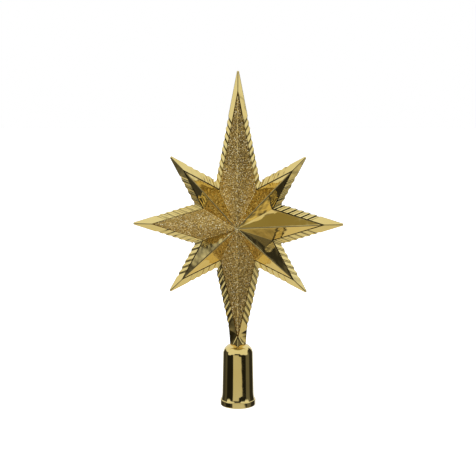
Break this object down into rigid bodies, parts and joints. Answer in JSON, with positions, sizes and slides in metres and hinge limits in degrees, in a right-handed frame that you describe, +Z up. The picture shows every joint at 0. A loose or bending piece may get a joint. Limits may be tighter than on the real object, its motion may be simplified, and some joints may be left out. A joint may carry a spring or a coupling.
{
  "type": "christmas tree topper",
  "caption": "Tall many-rayed relief star, moulded as hollow halves with ribbed borders and glitter-coated rays, snapped onto a flanged, open-bottomed socket for a tree's top shoot.",
  "frame": {"origin": "centre of the socket's foot, on the surface that the topper stands on", "axes": "+Z up through the socket to the tip of the top ray, -Y towards the front with the glitter, +X to the right seen from the front"},
  "size_m": [0.174, 0.0564, 0.2801],
  "materials": {
    "star_mirror_gold": "vacuum-metallised mirror gold over moulded plastic",
    "socket_mirror_gold": "vacuum-metallised mirror gold over moulded plastic",
    "glitter_gold": "fine light gold glitter flakes in clear lacquer"
  },
  "bodies": {
    "root": {"star_front_shell": "star_mirror_gold", "star_back_shell": "star_mirror_gold", "socket_cup": "socket_mirror_gold", "glitter_top_ray": "glitter_gold", "glitter_left_ray": "glitter_gold", "glitter_bottom_ray": "glitter_gold"}
  },
  "joints": []
}
